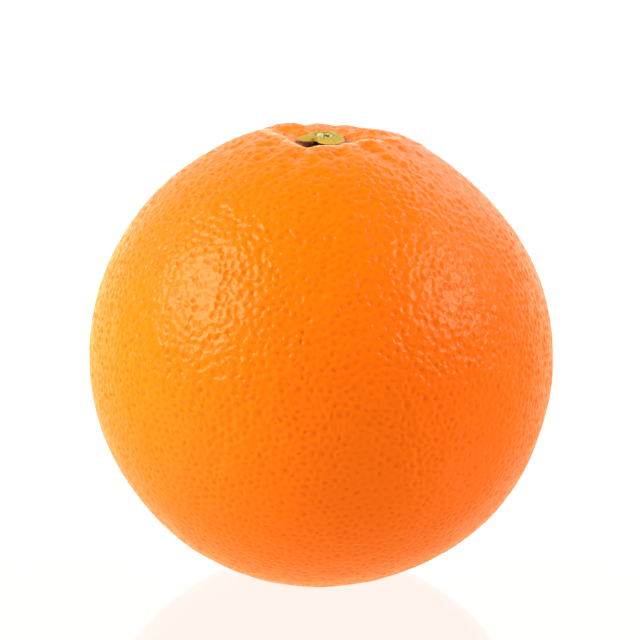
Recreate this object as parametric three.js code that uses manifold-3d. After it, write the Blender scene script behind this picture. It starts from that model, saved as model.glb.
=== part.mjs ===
// A sweet orange standing on its blossom end: the whole fruit, the green calyx left at its stem
// end, and the snapped end of the stem that sits in the calyx. It was grown as one body, so the
// parts only sit on each other and nothing moves.
//
// Millimetres, +Z up along the fruit's own axis. The origin is the middle of the flat spot that
// the fruit rests on. Azimuths are degrees from +X towards +Y, and -Y is the front.

import * as THREE from 'three';
import { ConvexGeometry } from 'three/addons/geometries/ConvexGeometry.js';
import { mergeVertices } from 'three/addons/utils/BufferGeometryUtils.js';
import Module from 'manifold-3d';

const wasm = await Module();
wasm.setup();

// ---- Driving dimensions -------------------------------------------------------------------

const FRUIT_RADIUS = 40; // half the width across the equator
const REST_SPOT_RADIUS = 7.5; // the skin is pressed flat this far round the blossom end
const FIT_GAP = 0.3; // air left between two parts that touch

// The shoulders rise in a ring round the stem end, steeper towards the stem than away from it.
const SHOULDER_RISE = 0.65;
const SHOULDER_ARC = 12; // along the skin, from the stem's axis to the highest ring
const SHOULDER_SPREAD_INSIDE = 4.8;
const SHOULDER_SPREAD_OUTSIDE = 9;

// The bowl that the calyx sits in opens wider on one side, at the front left.
const BOWL_DEPTH = 2.8;
const BOWL_SPREAD = 4.5;
const BOWL_STEEPNESS = 2.6;
const BOWL_WIDE_SIDE = 228;
const BOWL_WIDE_ANGLE = 40;
const BOWL_WIDER_BY = 1.6;

// A narrow crest runs along the bowl's rim. It swings out round three folds and is open behind.
const RIM_ARC = 7; // along the skin, from the stem's axis
const RIM_HEIGHT = 0.4;
const RIM_SPREAD_INSIDE = 0.8;
const RIM_SPREAD_OUTSIDE = 1.6;
const RIM_OPEN_SIDE = 88;
const RIM_OPEN_ANGLE = 55;
const RIM_FOLD_ANGLE = 26;
const RIM_FOLDS = [
  { azimuth: 150, further: 4.2 },
  { azimuth: 249, further: 1.3 },
  { azimuth: 15, further: 5.7 },
];

// Furrows run out of the bowl over the shoulders, one between each two folds of the skin.
const FURROWS = [
  { azimuth: 20, depth: 0.5 },
  { azimuth: 56, depth: 0.6 },
  { azimuth: 83, depth: 0.6 },
  { azimuth: 108, depth: 0.6 },
  { azimuth: 143, depth: 0.7 },
  { azimuth: 205, depth: 0.25 },
  { azimuth: 247, depth: 0.5 },
  { azimuth: 284, depth: 0.2 },
  { azimuth: 318, depth: 0.6 },
  { azimuth: 350, depth: 0.5 },
];
const FURROW_WIDTH = 1.3;
const FURROW_ARC = 9; // where they are deepest, along the skin from the stem's axis

// Broad swellings and hollows that leave the fruit a little out of round.
const SWELLINGS = [
  { azimuth: 172, polar: 38, rise: 0.35, spread: 20 },
  { azimuth: 38, polar: 27, rise: 0.45, spread: 8 },
  { azimuth: 124, polar: 18, rise: 0.3, spread: 5 },
  { azimuth: 160, polar: 11.5, rise: -0.5, spread: 4.2 },
  { azimuth: 10, polar: 47, rise: -0.2, spread: 14 },
  { azimuth: 0, polar: 80, rise: 0.3, spread: 34 },
  { azimuth: 355, polar: 130, rise: 0.6, spread: 22 },
  { azimuth: 320, polar: 158, rise: -0.3, spread: 17 },
  { azimuth: 188, polar: 128, rise: -0.3, spread: 20 },
  { azimuth: 78, polar: 84, rise: 0.4, spread: 26 },
  { azimuth: 112, polar: 128, rise: -0.35, spread: 22 },
  { azimuth: 266, polar: 74, rise: 0.3, spread: 24 },
];

// The pitted skin, drawn at about twice the size of the real oil glands.
const PIT_COUNT = 1720;
const PIT_DEPTH_LEAST = 0.2;
const PIT_DEPTH_MOST = 0.46;
const PIT_HALF_WIDTH = 0.95;
const PIT_SCATTER = 0.22; // how far a pit strays from an even spread, as a share of their spacing
const SKIN_SEED = 20;

// Low lumps under the pits: ripples that cross each other in every direction.
const RIPPLE_COUNT = 26;
const RIPPLE_HEIGHT = 0.035;
const RIPPLE_LENGTH_LEAST = 6;
const RIPPLE_LENGTH_MOST = 13;

// The skin is ruled finely round the stem end, in rings this far apart along it.
const COLLAR_ARC = 12;
const COLLAR_RING_STEP = 1.2;
const COLLAR_POINT_STEP = 0.95;
const COLLAR_POINTS_LEAST = 8;

// The stylar scar, a small dimple in the middle of the rest spot.
const SCAR_RADIUS = 2.2;
const SCAR_DEPTH = 0.6;
const REST_SPOT_POINTS = 32;
const UNDERSIDE_LEVEL = -0.9; // the rest spot lies below this share of the radius
const EDGE_SLACK = 0.001; // as a share of a radius

// The calyx: five lobes round a neck. Heights are above the fruit's middle.
const CALYX_LOBES = [
  { azimuth: 194, reach: 4.8, halfWidth: 36, droop: 0.16 },
  { azimuth: 288, reach: 4.4, halfWidth: 56, droop: 0 },
  { azimuth: 344, reach: 3.9, halfWidth: 36, droop: 0 },
  { azimuth: 50, reach: 4.1, halfWidth: 36, droop: 0 },
  { azimuth: 122, reach: 4.3, halfWidth: 38, droop: 0 },
];
const CALYX_WAIST = 2.95; // the radius between two lobes
const LOBE_SHARPNESS = 1.5; // 1 gives a straight-sided lobe, 2 a round one
const LOBE_THICKNESS = 0.6;
const LOBE_EDGE_ROUND = 0.12;
const LOBE_UNDERSIDE = 39;
const NECK_RADIUS = 1.9;
const NECK_FLARE = 0.2; // the neck widens this much just under the lobes
const NECK_FLARE_HEIGHT = 0.45;
const NECK_SUNK = 0.8; // how far the neck goes into the fruit, below the bowl
const COLLAR_TOP = 39.75; // the raised ring round the stem's end
const COLLAR_RADIUS = 2.2;
const COLLAR_ROUND = 0.08;
const COLLAR_FOOT = 0.15;
const COLLAR_FOOT_RISE = 0.06;
const CUP_RADIUS = 1.9;
const CUP_FLOOR = 38.7;
const SOCKET_CLEARANCE = 2; // the cutter for the neck's socket stands this far over the bowl

// The stem's end: a disc with a ring of fibre ends and one torn lump of pith. It snapped off on a
// slant, higher at the back.
const STUB_THICKNESS = 0.5;
const STUB_SLANT = 0.15;
const STUB_EDGE_ROUND = 0.1;
const STUB_RIM_RISE = 0.06;
const STUB_DIP = 0.16;
const FIBRE_SLOTS = 11;
const FIBRE_RING_RADIUS = 1.25;
const FIBRE_RADIUS = 0.27;
const FIBRE_STRETCH = 1.4;
const PITH_AZIMUTH = 200;
const PITH_RADIUS = 0.6;
const PITH_SQUASH = 0.8;
const PITH_TURN = 60;
const PITH_CLEAR_ANGLE = 40; // no fibre ends show this near to the pith
const PITH_OFFSET = 0.95;

const DEGREE = Math.PI / 180;
const MIDDLE_HEIGHT = Math.sqrt(FRUIT_RADIUS ** 2 - REST_SPOT_RADIUS ** 2);
const STUB_RADIUS = CUP_RADIUS - FIT_GAP;
const STUB_FLOOR = CUP_FLOOR + FIT_GAP;
const BOWL_FLOOR = FRUIT_RADIUS - BOWL_DEPTH;
const NECK_FLOOR = BOWL_FLOOR - NECK_SUNK;

// ---- Helpers ------------------------------------------------------------------------------

/** A repeatable stream of numbers from 0 to 1. */
function seeded(seed) {
  let state = seed >>> 0;
  return () => {
    state = (state + 0x6d2b79f5) >>> 0;
    let mixed = Math.imul(state ^ (state >>> 15), state | 1);
    mixed ^= mixed + Math.imul(mixed ^ (mixed >>> 7), mixed | 61);
    return ((mixed ^ (mixed >>> 14)) >>> 0) / 4294967296;
  };
}

/** The unit vector at a polar angle from +Z and an azimuth, both in radians. */
function direction(polar, azimuth) {
  const aside = Math.sin(polar);
  return new THREE.Vector3(aside * Math.cos(azimuth), aside * Math.sin(azimuth), Math.cos(polar));
}

/** A bell curve: 1 at 0, falling to 0.37 at 1. */
function bell(x) {
  return Math.exp(-x * x);
}

/** The signed turn from one azimuth to another, in radians, from -pi to pi. */
function turnBetween(from, to) {
  const turn = (to - from) % (2 * Math.PI);
  return turn - 2 * Math.PI * Math.round(turn / (2 * Math.PI));
}

/** A closed geometry as a solid that can be cut and joined. */
function solidOf(geometry) {
  const bare = geometry.clone();
  bare.deleteAttribute('normal');
  bare.deleteAttribute('uv');
  const merged = mergeVertices(bare, 1e-4);
  return new wasm.Manifold(new wasm.Mesh({
    numProp: 3,
    vertProperties: merged.getAttribute('position').array,
    triVerts: new Uint32Array(merged.index.array),
  }));
}

/** A solid as a geometry with flat faces. */
function geometryOf(solid) {
  const mesh = solid.getMesh();
  const geometry = new THREE.BufferGeometry();
  geometry.setAttribute('position', new THREE.BufferAttribute(mesh.vertProperties, 3));
  geometry.setIndex(new THREE.BufferAttribute(mesh.triVerts, 1));
  const faceted = geometry.toNonIndexed();
  faceted.computeVertexNormals();
  return faceted;
}

/** Moves every vertex of a geometry by a rule that changes the vector it is given. */
function reshape(geometry, rule) {
  const position = geometry.getAttribute('position');
  const vertex = new THREE.Vector3();
  for (let i = 0; i < position.count; i += 1) {
    vertex.fromBufferAttribute(position, i);
    rule(vertex);
    position.setXYZ(i, vertex.x, vertex.y, vertex.z);
  }
  return geometry;
}

/** A turned solid about Z, from a profile of [radius, height] that starts and ends on the axis. */
function turned(profile, segments) {
  const points = profile.map(([radius, height]) => new THREE.Vector2(radius, height));
  return new THREE.LatheGeometry(points, segments).rotateX(Math.PI / 2);
}

// ---- The fruit ----------------------------------------------------------------------------

/** A bell curve of half a width round an azimuth. The side and the width are in degrees. */
function nearness(azimuth, side, width) {
  return bell(turnBetween(side * DEGREE, azimuth) / (width * DEGREE));
}

/** How far the ring of shoulders lifts the skin, at an arc from the stem's axis. */
function shoulderRise(arc) {
  const spread = arc < SHOULDER_ARC ? SHOULDER_SPREAD_INSIDE : SHOULDER_SPREAD_OUTSIDE;
  return SHOULDER_RISE * bell((arc - SHOULDER_ARC) / spread);
}

/** How far the bowl sinks the skin. */
function bowlDepth(arc, azimuth) {
  const spread = BOWL_SPREAD + BOWL_WIDER_BY * nearness(azimuth, BOWL_WIDE_SIDE, BOWL_WIDE_ANGLE);
  return BOWL_DEPTH * Math.exp(-((arc / spread) ** BOWL_STEEPNESS));
}

/** How far the crest of the bowl's rim lifts the skin. */
function rimRise(arc, azimuth) {
  const crest = RIM_FOLDS.reduce((sum, fold) => (
    sum + fold.further * nearness(azimuth, fold.azimuth, RIM_FOLD_ANGLE)
  ), RIM_ARC);
  const spread = arc < crest ? RIM_SPREAD_INSIDE : RIM_SPREAD_OUTSIDE;
  const closed = 1 - nearness(azimuth, RIM_OPEN_SIDE, RIM_OPEN_ANGLE);
  return RIM_HEIGHT * bell((arc - crest) / spread) * closed;
}

/** How far the furrows out of the bowl sink the skin. */
function furrowDepth(arc, azimuth) {
  const reach = (arc / FURROW_ARC) ** 2;
  const deepest = FURROWS.reduce((most, furrow) => {
    const aside = turnBetween(furrow.azimuth * DEGREE, azimuth) * arc;
    return Math.max(most, furrow.depth * bell(aside / FURROW_WIDTH));
  }, 0);
  return deepest * reach * Math.exp(1 - reach);
}

/** How far the broad swellings lift the skin. */
function swelling(toSkin) {
  return SWELLINGS.reduce((sum, { azimuth, polar, rise, spread }) => {
    const angle = toSkin.angleTo(direction(polar * DEGREE, azimuth * DEGREE));
    return sum + rise * bell(angle / (spread * DEGREE));
  }, 0);
}

/** How deep the stylar scar is at a distance from the axis. */
function scarDepth(fromAxis) {
  if (fromAxis > SCAR_RADIUS * (1 - EDGE_SLACK)) return 0;
  return SCAR_DEPTH * Math.cos(fromAxis / SCAR_RADIUS * Math.PI / 2);
}

/** The pits: directions spread evenly along a spiral and then scattered, each with its depth. */
function makePits(random) {
  const goldenTurn = Math.PI * (3 - Math.sqrt(5));
  const spacing = Math.sqrt(4 * Math.PI / PIT_COUNT);
  return Array.from({ length: PIT_COUNT }, (_, i) => {
    const stray = new THREE.Vector3(random() - 0.5, random() - 0.5, random() - 0.5);
    const at = direction(Math.acos(1 - 2 * (i + 0.5) / PIT_COUNT), i * goldenTurn)
      .addScaledVector(stray, 2 * PIT_SCATTER * spacing)
      .normalize();
    return { at, depth: THREE.MathUtils.lerp(PIT_DEPTH_LEAST, PIT_DEPTH_MOST, random()) };
  });
}

/** How deep the pits are in one direction. */
function pitDepth(pits, toSkin) {
  return pits.reduce((deepest, { at, depth }) => {
    const apart = FRUIT_RADIUS * at.distanceTo(toSkin);
    return apart < 3 * PIT_HALF_WIDTH ? Math.max(deepest, depth * bell(apart / PIT_HALF_WIDTH)) : deepest;
  }, 0);
}

/** The ripples, each with the direction it runs in and the place of its first crest. */
function makeRipples(random) {
  return Array.from({ length: RIPPLE_COUNT }, () => {
    const run = direction(Math.acos(1 - 2 * random()), 2 * Math.PI * random());
    const length = THREE.MathUtils.lerp(RIPPLE_LENGTH_LEAST, RIPPLE_LENGTH_MOST, random());
    return { run, length, start: random() };
  });
}

/** How far the ripples lift the skin in one direction. */
function rippleRise(ripples, toSkin) {
  return ripples.reduce((sum, { run, length, start }) => {
    const along = FRUIT_RADIUS * run.dot(toSkin) / length;
    return sum + RIPPLE_HEIGHT * Math.sin(2 * Math.PI * (along + start));
  }, 0);
}

/** The distance from the fruit's middle to its skin. */
function skinRadius(toSkin, pits, ripples) {
  const arc = FRUIT_RADIUS * Math.acos(THREE.MathUtils.clamp(toSkin.z, -1, 1));
  const azimuth = Math.atan2(toSkin.y, toSkin.x);
  const raised = shoulderRise(arc) + rimRise(arc, azimuth) + swelling(toSkin);
  const sunk = bowlDepth(arc, azimuth) + furrowDepth(arc, azimuth);
  const form = FRUIT_RADIUS + raised - sunk;
  const skin = form + rippleRise(ripples, toSkin) - pitDepth(pits, toSkin);
  if (toSkin.z > UNDERSIDE_LEVEL) return skin;
  const fromAxis = MIDDLE_HEIGHT * Math.hypot(toSkin.x, toSkin.y) / -toSkin.z;
  const flat = MIDDLE_HEIGHT / -toSkin.z;
  const onSpot = fromAxis < REST_SPOT_RADIUS * (1 + EDGE_SLACK);
  return onSpot ? flat - scarDepth(fromAxis) : Math.min(skin, flat);
}

/** A ring of directions round the Z axis at one polar angle, with an even number of them. */
function ringDirections(polar, count, turn) {
  return Array.from({ length: count }, (_, i) => direction(polar, (i + turn) / count * 2 * Math.PI));
}

/** Directions for the finely ruled skin in and round the bowl. */
function collarDirections() {
  const rings = [direction(0, 0)];
  const ringCount = Math.round(COLLAR_ARC / COLLAR_RING_STEP);
  for (let ring = 1; ring <= ringCount; ring += 1) {
    const arc = ring * COLLAR_RING_STEP;
    const count = Math.round(2 * Math.PI * arc / COLLAR_POINT_STEP);
    const points = Math.max(COLLAR_POINTS_LEAST, count);
    rings.push(...ringDirections(arc / FRUIT_RADIUS, points, (rings.length % 2) / 2));
  }
  return rings;
}

/** Directions for the rest spot: its round edge, and the scar in its middle. */
function restSpotDirections() {
  const polarOf = (radius) => Math.PI - Math.atan(radius / MIDDLE_HEIGHT);
  return [
    ...ringDirections(polarOf(REST_SPOT_RADIUS), REST_SPOT_POINTS, 0),
    ...ringDirections(polarOf(SCAR_RADIUS), REST_SPOT_POINTS / 2, 0.5),
    ...ringDirections(polarOf(SCAR_RADIUS / 2), REST_SPOT_POINTS / 4, 0),
    direction(Math.PI, 0),
  ];
}

/** The fruit's skin. Each pit is ringed by the points that are furthest from all the pits. */
function fruitGeometry() {
  const random = seeded(SKIN_SEED);
  const pits = makePits(random);
  const ripples = makeRipples(random);
  const centres = pits.map(({ at }) => at);
  const normals = new ConvexGeometry(centres).getAttribute('normal');
  const ridges = [];
  for (let i = 0; i < normals.count; i += 3) {
    ridges.push(new THREE.Vector3().fromBufferAttribute(normals, i).normalize());
  }
  const collarEdge = Math.cos((COLLAR_ARC + COLLAR_RING_STEP / 2) / FRUIT_RADIUS);
  const restEdge = Math.cos((REST_SPOT_RADIUS + COLLAR_RING_STEP) / FRUIT_RADIUS);
  const points = [...centres, ...ridges].filter(({ z }) => z < collarEdge && z > -restEdge);
  points.push(...collarDirections(), ...restSpotDirections());
  return reshape(new ConvexGeometry(points), (vertex) => {
    vertex.normalize();
    vertex.multiplyScalar(skinRadius(vertex, pits, ripples));
  });
}

/** The round socket in the bowl that the calyx's neck grows out of. */
function neckSocket() {
  const floor = NECK_FLOOR - FIT_GAP;
  const height = BOWL_FLOOR + SOCKET_CLEARANCE - floor;
  return new THREE.CylinderGeometry(NECK_RADIUS + FIT_GAP, NECK_RADIUS + FIT_GAP, height, 24)
    .rotateX(Math.PI / 2)
    .translate(0, 0, floor + height / 2);
}

// ---- The calyx ----------------------------------------------------------------------------

/** How far a lobe stands out at an azimuth, from 0 between lobes to 1 at a tip, and which lobe. */
function lobeAt(azimuth) {
  const shares = CALYX_LOBES.map((lobe) => {
    const aside = Math.abs(turnBetween(lobe.azimuth * DEGREE, azimuth)) / (lobe.halfWidth * DEGREE);
    return { lobe, share: Math.max(0, 1 - aside ** LOBE_SHARPNESS) };
  });
  return shares.reduce((best, next) => (next.share > best.share ? next : best));
}

/** The calyx, turned as a round button and then drawn out into its lobes. */
function calyxGeometry() {
  const underside = LOBE_UNDERSIDE;
  const top = LOBE_UNDERSIDE + LOBE_THICKNESS;
  const edge = CALYX_WAIST;
  const foot = COLLAR_RADIUS + COLLAR_FOOT;
  const profile = [
    [0, NECK_FLOOR],
    [NECK_RADIUS, NECK_FLOOR],
    [NECK_RADIUS, underside - NECK_FLARE_HEIGHT],
    [NECK_RADIUS + NECK_FLARE, underside - NECK_FLARE / 2],
    [NECK_RADIUS + NECK_FLARE * 3, underside],
    [edge - LOBE_EDGE_ROUND, underside],
    [edge, underside + LOBE_EDGE_ROUND],
    [edge, top - LOBE_EDGE_ROUND],
    [edge - LOBE_EDGE_ROUND, top],
    [(foot + edge) / 2, top + COLLAR_FOOT_RISE / 2],
    [foot, top + COLLAR_FOOT_RISE],
    [COLLAR_RADIUS, COLLAR_TOP - COLLAR_ROUND],
    [(COLLAR_RADIUS + CUP_RADIUS) / 2, COLLAR_TOP],
    [CUP_RADIUS, COLLAR_TOP - COLLAR_ROUND],
    [CUP_RADIUS, CUP_FLOOR],
    [0, CUP_FLOOR],
  ];
  return reshape(turned(profile, 72), (vertex) => {
    const radius = Math.hypot(vertex.x, vertex.y);
    if (radius < (COLLAR_RADIUS + foot) / 2) return;
    const { lobe, share } = lobeAt(Math.atan2(vertex.y, vertex.x));
    const outward = (radius - COLLAR_RADIUS) / (edge - COLLAR_RADIUS);
    const stretched = radius + (lobe.reach - edge) * share * outward ** LOBE_SHARPNESS;
    vertex.multiply(new THREE.Vector3(stretched / radius, stretched / radius, 1));
    vertex.z -= lobe.droop * share * outward ** 2;
  });
}

// ---- The stem's end -----------------------------------------------------------------------

/** The snapped stem: a disc, its ring of fibre ends and the torn pith, joined in one body. */
function stemEndSolid() {
  const top = STUB_FLOOR + STUB_THICKNESS;
  const slanted = (geometry) => reshape(geometry, (vertex) => {
    const share = THREE.MathUtils.clamp((vertex.z - STUB_FLOOR) / STUB_THICKNESS, 0, 1);
    vertex.z += STUB_SLANT * vertex.y * share;
  });
  let solid = solidOf(slanted(turned([
    [0, STUB_FLOOR],
    [STUB_RADIUS - STUB_EDGE_ROUND, STUB_FLOOR],
    [STUB_RADIUS, STUB_FLOOR + STUB_EDGE_ROUND],
    [STUB_RADIUS, top - STUB_RIM_RISE],
    [STUB_RADIUS * 0.9, top + STUB_RIM_RISE],
    [STUB_RADIUS * 0.55, top - STUB_DIP * 0.75],
    [0, top - STUB_DIP],
  ], 30)));
  for (let slot = 0; slot < FIBRE_SLOTS; slot += 1) {
    const azimuth = slot / FIBRE_SLOTS * 2 * Math.PI;
    if (Math.abs(turnBetween(PITH_AZIMUTH * DEGREE, azimuth)) > PITH_CLEAR_ANGLE * DEGREE) {
      const fibre = new THREE.SphereGeometry(FIBRE_RADIUS, 8, 6)
        .scale(1, 1, FIBRE_STRETCH)
        .translate(FIBRE_RING_RADIUS * Math.cos(azimuth), FIBRE_RING_RADIUS * Math.sin(azimuth), top);
      solid = solid.add(solidOf(slanted(fibre)));
    }
  }
  const pith = new THREE.SphereGeometry(PITH_RADIUS, 14, 10)
    .scale(1, PITH_SQUASH, PITH_SQUASH)
    .rotateZ((PITH_AZIMUTH + PITH_TURN) * DEGREE)
    .translate(
      PITH_OFFSET * Math.cos(PITH_AZIMUTH * DEGREE),
      PITH_OFFSET * Math.sin(PITH_AZIMUTH * DEGREE),
      top + STUB_RIM_RISE,
    );
  return solid.add(solidOf(slanted(pith)));
}

// ---- The whole orange ---------------------------------------------------------------------

/** A named piece of the orange with its own finish, set at the height of the fruit's middle. */
function piece(name, geometry, finish) {
  const mesh = new THREE.Mesh(geometry, new THREE.MeshStandardMaterial(finish));
  mesh.name = name;
  mesh.position.z = MIDDLE_HEIGHT;
  return mesh;
}

const fruit = solidOf(fruitGeometry()).subtract(solidOf(neckSocket()));

const orange = new THREE.Group();
orange.add(
  piece('fruit', geometryOf(fruit), { color: 0xf9820e, roughness: 0.42, metalness: 0 }),
  piece('calyx', calyxGeometry(), { color: 0xb9b145, roughness: 0.7, metalness: 0 }),
  piece('stem_end', geometryOf(stemEndSolid()), { color: 0xd9d49a, roughness: 0.8, metalness: 0 }),
);

export default orange;
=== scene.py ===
"""A fresh orange on a pale table: its pitted peel, the calyx at the stem end and the snapped stem.

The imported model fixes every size. Here each of its three solids is replaced by a finer piece of
the same form, given its finish, and set in a small studio. Lengths are in metres.
"""

import logging
import math
from dataclasses import dataclass, field
from enum import Enum

import bpy
import numpy as np
from mathutils import Matrix, Vector
from mathutils.bvhtree import BVHTree


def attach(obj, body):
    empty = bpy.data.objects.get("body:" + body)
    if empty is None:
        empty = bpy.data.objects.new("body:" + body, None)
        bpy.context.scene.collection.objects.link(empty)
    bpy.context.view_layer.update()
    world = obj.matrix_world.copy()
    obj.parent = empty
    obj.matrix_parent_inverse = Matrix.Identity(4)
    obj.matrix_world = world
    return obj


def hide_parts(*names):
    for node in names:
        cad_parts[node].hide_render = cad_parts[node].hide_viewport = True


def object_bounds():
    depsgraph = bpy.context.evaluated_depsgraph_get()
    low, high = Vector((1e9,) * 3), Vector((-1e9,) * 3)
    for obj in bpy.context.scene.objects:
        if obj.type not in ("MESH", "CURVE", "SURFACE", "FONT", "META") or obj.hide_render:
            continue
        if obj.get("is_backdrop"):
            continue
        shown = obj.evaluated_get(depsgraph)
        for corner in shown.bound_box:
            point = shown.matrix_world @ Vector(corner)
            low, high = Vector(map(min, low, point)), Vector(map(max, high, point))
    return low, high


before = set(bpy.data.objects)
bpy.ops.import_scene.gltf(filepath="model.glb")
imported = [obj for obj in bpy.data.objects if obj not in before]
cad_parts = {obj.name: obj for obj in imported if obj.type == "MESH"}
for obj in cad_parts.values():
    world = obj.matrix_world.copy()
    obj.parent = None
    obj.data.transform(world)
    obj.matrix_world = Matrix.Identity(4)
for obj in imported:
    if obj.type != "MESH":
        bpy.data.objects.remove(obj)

MM = 0.001
BODY = "root"

PLANT_IOR = 1.4
RAY_HEIGHT = 0.1
LOOK_HEIGHT = 39.3 * MM
PLAIN_NOISE = 1.0
RICH_NOISE = 3.0
PLATE_NOISE = 0.6
PLATE_SPAN = (-0.45, 0.15)

Colour = tuple[float, float, float]
Place = tuple[float, float, float]
Span = tuple[float, float]
Number = "Term | float"

log = logging.getLogger("orange")


class Slot(Enum):
    """The record's material slots."""

    PEEL = "peel"
    CALYX = "calyx_green"
    STEM = "stem_pith"


class Solid(Enum):
    """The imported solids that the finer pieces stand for."""

    FRUIT = "fruit"
    CALYX = "calyx"
    STEM_END = "stem_end"


# ---- Node trees written as expressions ----------------------------------------------------


class Term:
    """One number in a node tree. Arithmetic on it adds Math nodes."""

    def __init__(self, graph: "Graph", socket: bpy.types.NodeSocket) -> None:
        """Wrap a socket of a graph."""
        self.graph = graph
        self.socket = socket

    def __add__(self, other: Number) -> "Term":
        """Add."""
        return self.graph.math("ADD", self, other)

    def __sub__(self, other: Number) -> "Term":
        """Subtract."""
        return self.graph.math("SUBTRACT", self, other)

    def __rsub__(self, other: Number) -> "Term":
        """Subtract from a value."""
        return self.graph.math("SUBTRACT", other, self)

    def __mul__(self, other: Number) -> "Term":
        """Multiply."""
        return self.graph.math("MULTIPLY", self, other)

    def __truediv__(self, other: Number) -> "Term":
        """Divide."""
        return self.graph.math("DIVIDE", self, other)

    def __rtruediv__(self, other: Number) -> "Term":
        """Divide a value."""
        return self.graph.math("DIVIDE", other, self)

    def __pow__(self, other: Number) -> "Term":
        """Raise to a power."""
        return self.graph.math("POWER", self, other)

    def __neg__(self) -> "Term":
        """Turn the sign."""
        return self.graph.math("MULTIPLY", self, -1.0)

    __radd__ = __add__
    __rmul__ = __mul__

    def most(self, other: Number) -> "Term":
        """The larger of two numbers."""
        return self.graph.math("MAXIMUM", self, other)

    def least(self, other: Number) -> "Term":
        """The smaller of two numbers."""
        return self.graph.math("MINIMUM", self, other)

    def exp(self) -> "Term":
        """The exponential."""
        return self.graph.math("EXPONENT", self)

    def bell(self) -> "Term":
        """A bell curve: 1 at 0, falling to 0.37 at 1."""
        return (-(self * self)).exp()

    def between(self, low: float, high: float) -> "Term":
        """The number that lies between two others as this one lies between 0 and 1."""
        return self * (high - low) + low

    def step(self, low: float, high: float) -> "Term":
        """A smooth step from 0 at one value to 1 at another.

        Args:
            low: The value that gives 0.
            high: The value that gives 1.

        Returns:
            The step.
        """
        ranged = self.graph.node(
            "ShaderNodeMapRange",
            {"interpolation_type": "SMOOTHSTEP"},
            {"Value": self, "From Min": low, "From Max": high},
        )
        return Term(self.graph, ranged.outputs["Result"])


class Graph:
    """A node tree that is built from expressions."""

    def __init__(self, tree: bpy.types.NodeTree) -> None:
        """Take a tree to build in."""
        self.tree = tree

    def node(
        self, kind: str, settings: dict | None = None, values: dict | None = None
    ) -> bpy.types.Node:
        """Add a node.

        Args:
            kind: The node's type.
            settings: Its properties, which are set first.
            values: What its sockets hold or are linked to, by name or place.

        Returns:
            The node.
        """
        made = self.tree.nodes.new(kind)
        for name, choice in (settings or {}).items():
            setattr(made, name, choice)
        for key, value in (values or {}).items():
            self.feed(made.inputs[key], value)
        return made

    def feed(self, socket: bpy.types.NodeSocket, value: object) -> None:
        """Link a socket to a term or another socket, or set its value.

        Args:
            socket: The input to feed.
            value: A term, a socket, a number, a colour, a vector or a name.
        """
        if isinstance(value, Term):
            value = value.socket
        if isinstance(value, bpy.types.NodeSocket):
            self.tree.links.new(value, socket)
        elif isinstance(value, tuple) and socket.type == "RGBA":
            socket.default_value = (*value, 1.0)
        else:
            socket.default_value = value

    def math(self, operation: str, *numbers: Number) -> Term:
        """Add a Math node.

        Args:
            operation: What it does.
            numbers: Its terms or numbers.

        Returns:
            Its result.
        """
        made = self.node("ShaderNodeMath", {"operation": operation}, dict(enumerate(numbers)))
        return Term(self, made.outputs[0])

    def vector(self, operation: str, *vectors: object, scale: Number = 1.0) -> bpy.types.NodeSocket:
        """Add a Vector Math node that gives a vector.

        Args:
            operation: What it does.
            vectors: Its vectors.
            scale: The factor of a SCALE.

        Returns:
            Its vector output.
        """
        made = self.node("ShaderNodeVectorMath", {"operation": operation}, dict(enumerate(vectors)))
        if operation == "SCALE":
            self.feed(made.inputs["Scale"], scale)
        return made.outputs["Vector"]

    def dot(self, one: object, other: object) -> Term:
        """The dot product of two vectors."""
        made = self.node("ShaderNodeVectorMath", {"operation": "DOT_PRODUCT"}, {0: one, 1: other})
        return Term(self, made.outputs["Value"])

    def parts(self, vector: object) -> tuple[Term, Term, Term]:
        """The three numbers of a vector."""
        made = self.node("ShaderNodeSeparateXYZ", values={0: vector})
        return tuple(Term(self, output) for output in made.outputs)

    def noise(self, place: object, size: float, detail: float = 2.0) -> Term:
        """Smooth noise from about -1 to 1.

        Args:
            place: The vector it is read at.
            size: The size of its lumps.
            detail: How many finer layers it has.

        Returns:
            The noise, centred on 0.
        """
        values = {"Vector": place, "Scale": 1.0 / size, "Detail": detail}
        made = self.node("ShaderNodeTexNoise", {"noise_dimensions": "3D"}, values)
        return (Term(self, made.outputs[0]) - 0.5) * 2.0

    def blend(self, share: Number, low: object, high: object) -> bpy.types.NodeSocket:
        """Mix two colours.

        Args:
            share: How much of the second colour there is.
            low: The first colour.
            high: The second colour.

        Returns:
            The mixed colour.
        """
        made = self.node("ShaderNodeMix", {"data_type": "RGBA"}, {0: share, 6: low, 7: high})
        return made.outputs[2]


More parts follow.
